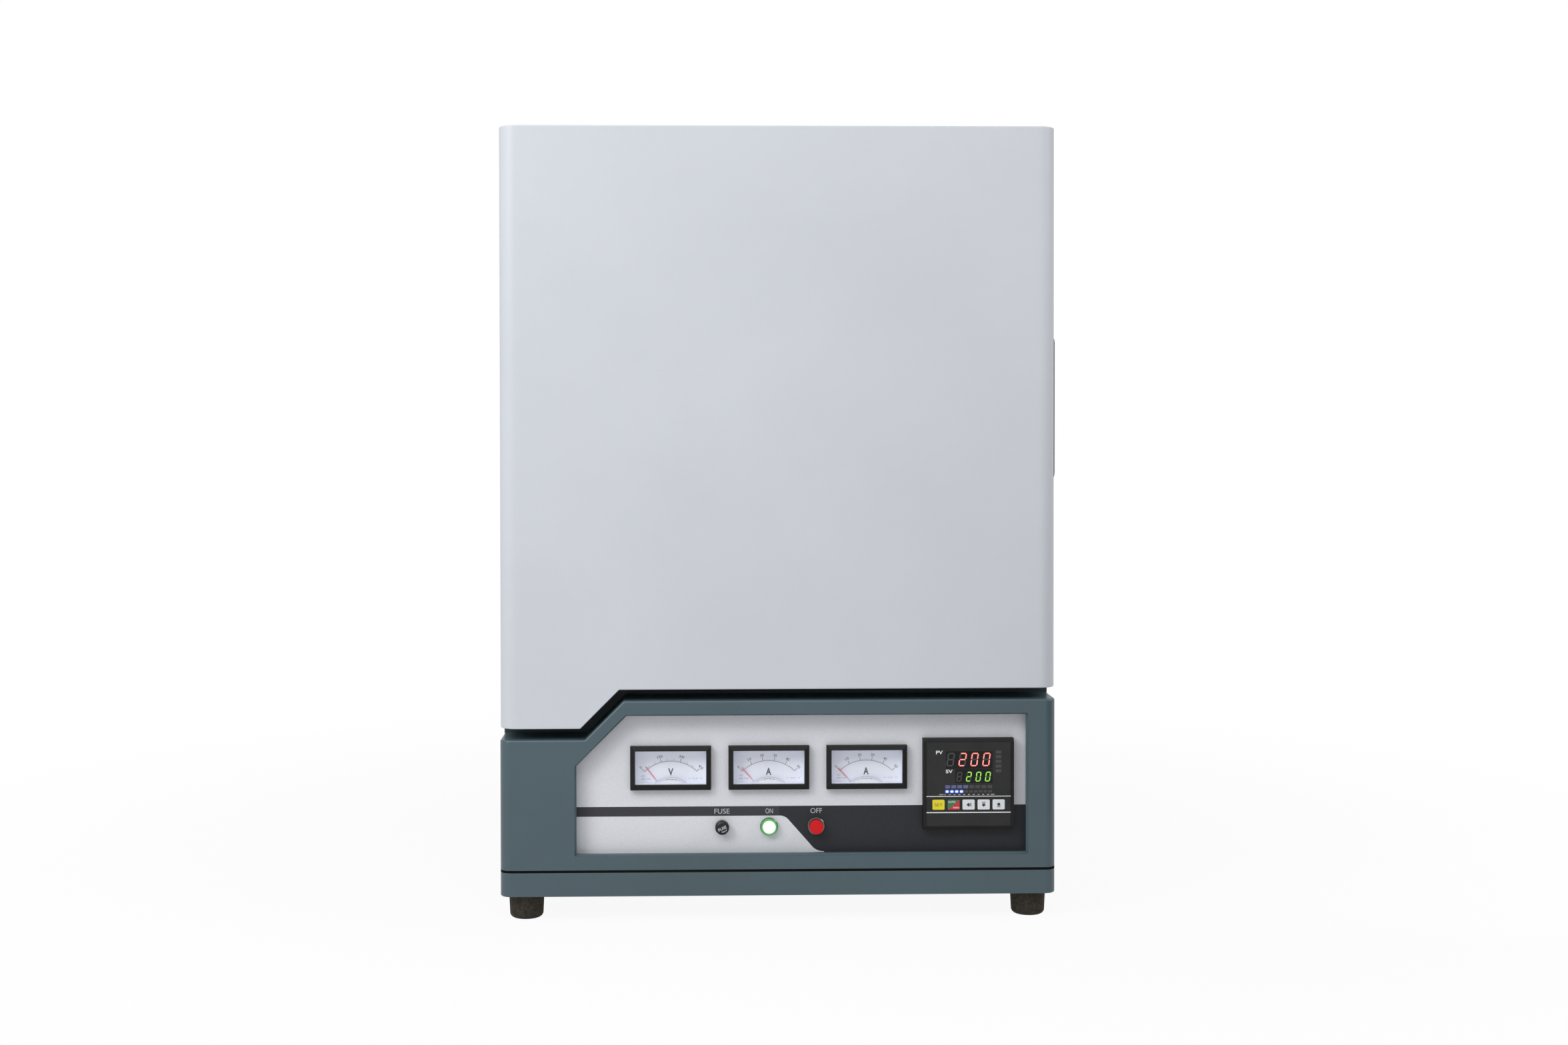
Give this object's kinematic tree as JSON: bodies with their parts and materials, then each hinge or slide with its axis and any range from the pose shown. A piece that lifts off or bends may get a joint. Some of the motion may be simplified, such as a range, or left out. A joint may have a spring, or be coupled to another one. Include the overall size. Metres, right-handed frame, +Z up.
{
  "type": "muffle furnace",
  "caption": "Floor-standing electric muffle furnace with a side-hinged plug door above a stepped control console with meters, a temperature controller and push buttons.",
  "frame": {"origin": "on the floor, under the middle of the furnace's bounding box", "axes": "+Z up, -Y towards the door and console, +X towards the handle side"},
  "size_m": [0.588, 0.7, 0.832],
  "materials": {
    "door_paint": "satin",
    "cabinet_paint": "satin",
    "console_paint": "satin",
    "plated_steel": "satin",
    "panel_film": "satin",
    "black_plastic": "matte",
    "dark_face": "gloss",
    "dial_white": "matte",
    "cover_white": "satin",
    "clear_glass": "gloss",
    "needle": "satin",
    "chromed": "polished",
    "on_lens": "gloss",
    "off_red": "gloss",
    "key_yellow": "satin",
    "key_green": "satin",
    "key_white": "satin",
    "fibre_board": "matte",
    "gasket_rope": "matte",
    "hearth_ceramic": "matte",
    "heating_alloy": "matte",
    "heat_sink": "satin",
    "feet_rubber": "matte"
  },
  "bodies": {
    "cabinet": {"rubber_feet": "feet_rubber", "plinth_tray": "console_paint", "base_shell": "console_paint", "base_rear_panel": "console_paint", "console_fascia": "console_paint", "control_panel": "plated_steel", "panel_overlay": "panel_film", "side_panel_left": "cabinet_paint", "side_panel_right": "cabinet_paint", "top_panel": "cabinet_paint", "rear_panel": "cabinet_paint", "front_frame": "console_paint", "inner_casing": "plated_steel", "insulation_floor": "fibre_board", "insulation_roof": "fibre_board", "insulation_left": "fibre_board", "insulation_right": "fibre_board", "insulation_rear": "fibre_board", "hearth_plate": "hearth_ceramic", "heating_element_left": "heating_alloy", "heating_element_right": "heating_alloy", "thermocouple": "hearth_ceramic", "exhaust_tube": "plated_steel", "voltmeter_case": "black_plastic", "ammeter_left_case": "black_plastic", "ammeter_right_case": "black_plastic", "meter_dials": "dial_white", "meter_covers": "cover_white", "meter_windows": "clear_glass", "controller_case": "black_plastic", "controller_face": "dark_face", "fuse_holder": "black_plastic", "button_bezels": "chromed", "fan_frame": "black_plastic", "power_controller": "heat_sink", "contactor": "black_plastic", "terminal_block": "black_plastic", "cable_gland": "black_plastic", "hinge_brackets": "plated_steel", "hinge_pins": "plated_steel", "door_switch": "black_plastic", "catch_magnets": "plated_steel"},
    "door": {"door_skin": "door_paint", "door_liner": "plated_steel", "door_plug": "fibre_board", "door_seal": "gasket_rope", "door_handle": "plated_steel", "door_hinge_leaves": "plated_steel"},
    "on_button": {"on_button": "on_lens"},
    "off_button": {"off_button": "off_red"},
    "key_set": {"key_set": "key_yellow"},
    "key_mode": {"key_mode": "key_green"},
    "key_shift": {"key_shift": "key_white"},
    "key_down": {"key_down": "key_white"},
    "key_up": {"key_up": "key_white"},
    "fuse_cap": {"fuse_cap": "black_plastic"},
    "voltmeter_pointer": {"voltmeter_pointer": "needle"},
    "ammeter_left_pointer": {"ammeter_left_pointer": "needle"},
    "ammeter_right_pointer": {"ammeter_right_pointer": "needle"},
    "fan_rotor": {"fan_rotor": "black_plastic"}
  },
  "joints": [
    {"name": "door_hinge", "type": "hinge", "parent": "cabinet", "child": "door", "pos_m": [-0.28, -0.318, 0.53735], "axis": [0, 0, -1], "range_deg": [0, 110]},
    {"name": "on_press", "type": "slide", "parent": "cabinet", "child": "on_button", "axis": [0, 1, 0], "range_m": [0, 0.0022], "stiffness_N_per_m": 600, "springref_m": -0.002},
    {"name": "off_press", "type": "slide", "parent": "cabinet", "child": "off_button", "axis": [0, 1, 0], "range_m": [0, 0.0022], "stiffness_N_per_m": 600, "springref_m": -0.002},
    {"name": "set_press", "type": "slide", "parent": "cabinet", "child": "key_set", "axis": [0, 1, 0], "range_m": [0, 0.0008], "stiffness_N_per_m": 400, "springref_m": -0.0005},
    {"name": "mode_press", "type": "slide", "parent": "cabinet", "child": "key_mode", "axis": [0, 1, 0], "range_m": [0, 0.0008], "stiffness_N_per_m": 400, "springref_m": -0.0005},
    {"name": "shift_press", "type": "slide", "parent": "cabinet", "child": "key_shift", "axis": [0, 1, 0], "range_m": [0, 0.0008], "stiffness_N_per_m": 400, "springref_m": -0.0005},
    {"name": "down_press", "type": "slide", "parent": "cabinet", "child": "key_down", "axis": [0, 1, 0], "range_m": [0, 0.0008], "stiffness_N_per_m": 400, "springref_m": -0.0005},
    {"name": "up_press", "type": "slide", "parent": "cabinet", "child": "key_up", "axis": [0, 1, 0], "range_m": [0, 0.0008], "stiffness_N_per_m": 400, "springref_m": -0.0005},
    {"name": "fuse_cap_turn", "type": "hinge", "parent": "cabinet", "child": "fuse_cap", "pos_m": [-0.0594, -0.33, 0.0957], "axis": [0, -1, 0], "range_deg": [0, 90]},
    {"name": "voltmeter_needle", "type": "hinge", "parent": "cabinet", "child": "voltmeter_pointer", "pos_m": [-0.11342, -0.33, 0.1242], "axis": [0, 1, 0], "range_deg": [-6.1, 80.9], "stiffness_Nm_per_rad": 0.0005},
    {"name": "ammeter_left_needle", "type": "hinge", "parent": "cabinet", "child": "ammeter_left_pointer", "pos_m": [-0.01003, -0.33, 0.1242], "axis": [0, 1, 0], "range_deg": [-3.2, 83.8], "stiffness_Nm_per_rad": 0.0005},
    {"name": "ammeter_right_needle", "type": "hinge", "parent": "cabinet", "child": "ammeter_right_pointer", "pos_m": [0.09335, -0.33, 0.1242], "axis": [0, 1, 0], "range_deg": [-0.8, 86.2], "stiffness_Nm_per_rad": 0.0005},
    {"name": "fan_spin", "type": "hinge", "parent": "cabinet", "child": "fan_rotor", "pos_m": [-0.18, 0.3075, 0.122], "axis": [0, 1, 0], "continuous": true}
  ]
}
